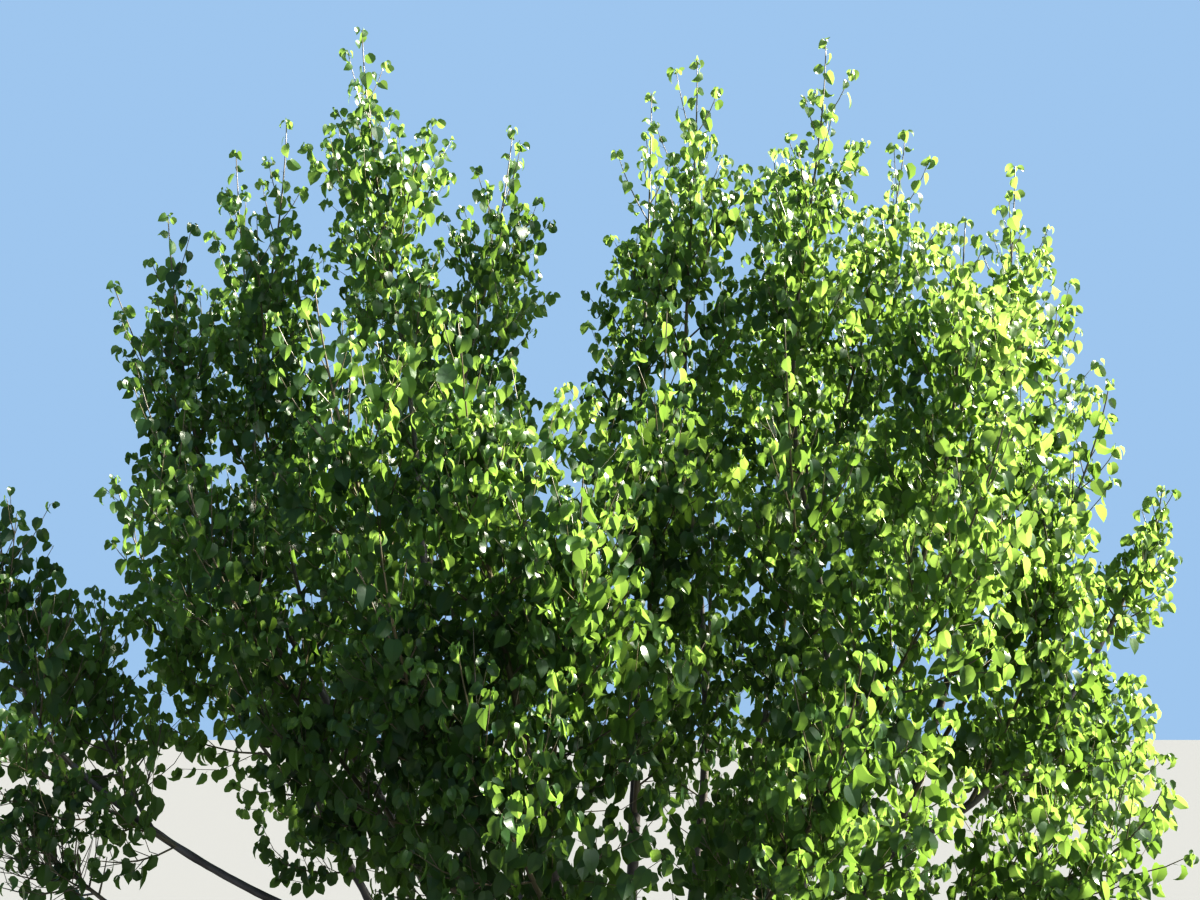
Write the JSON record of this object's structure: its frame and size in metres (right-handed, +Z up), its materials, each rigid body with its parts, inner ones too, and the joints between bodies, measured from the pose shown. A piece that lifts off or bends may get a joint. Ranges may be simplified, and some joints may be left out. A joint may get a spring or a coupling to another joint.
{
  "type": "mahaleb cherry tree",
  "caption": "Young mahaleb cherry in full leaf: many slender stems fan out from one root crown into a broad, uneven crown of upright leafy shoots.",
  "frame": {"origin": "middle of the flat cut under the root crown, at ground level", "axes": "+Z up, +X to the right and -Y towards the viewer of the side the picture shows"},
  "size_m": [4.1685, 3.0183, 4.0605],
  "materials": {
    "bark": "smooth grey-brown young cherry bark with pale breathing pores",
    "foliage": "glossy rounded green leaves on thin twigs"
  },
  "bodies": {
    "root": {"bough_east": "bark", "bough_west": "bark", "root_crown": "bark", "stem_east": "bark", "stem_east_front": "bark", "stem_east_inner": "bark", "stem_front": "bark", "stem_low_west": "bark", "stem_middle": "bark", "stem_middle_rear": "bark", "stem_rear_east": "bark", "stem_rear_west": "bark", "stem_west": "bark", "stem_west_inner": "bark", "stem_west_outer": "bark", "foliage_east_flank": "foliage", "foliage_east_front_flank": "foliage", "foliage_east_front_peak": "foliage", "foliage_east_front_shoulder": "foliage", "foliage_east_peak": "foliage", "foliage_east_rear_peak": "foliage", "foliage_east_shoulder": "foliage", "foliage_east_skirt": "foliage", "foliage_east_skirt_low": "foliage", "foliage_east_skirt_rear": "foliage", "foliage_east_spire": "foliage", "foliage_east_tip": "foliage", "foliage_front_east_high": "foliage", "foliage_front_east_low": "foliage", "foliage_front_middle": "foliage", "foliage_front_middle_high": "foliage", "foliage_front_middle_low": "foliage", "foliage_front_west": "foliage", "foliage_front_west_high": "foliage", "foliage_front_west_low": "foliage", "foliage_low_west_bare": "foliage", "foliage_low_west_rear": "foliage", "foliage_low_west_skirt": "foliage", "foliage_low_west_tip": "foliage", "foliage_middle_peak": "foliage", "foliage_middle_spire": "foliage", "foliage_rear_east": "foliage", "foliage_rear_east_flank": "foliage", "foliage_rear_east_skirt": "foliage", "foliage_rear_middle": "foliage", "foliage_rear_saddle": "foliage", "foliage_rear_west": "foliage", "foliage_rear_west_flank": "foliage", "foliage_rear_west_skirt": "foliage", "foliage_tall_spire": "foliage", "foliage_water_shoots": "foliage", "foliage_west_arch": "foliage", "foliage_west_flank": "foliage", "foliage_west_front": "foliage", "foliage_west_front_flank": "foliage", "foliage_west_inner_low": "foliage", "foliage_west_peak": "foliage", "foliage_west_rear_peak": "foliage", "foliage_west_saddle": "foliage", "foliage_west_shoulder": "foliage"}
  },
  "joints": []
}
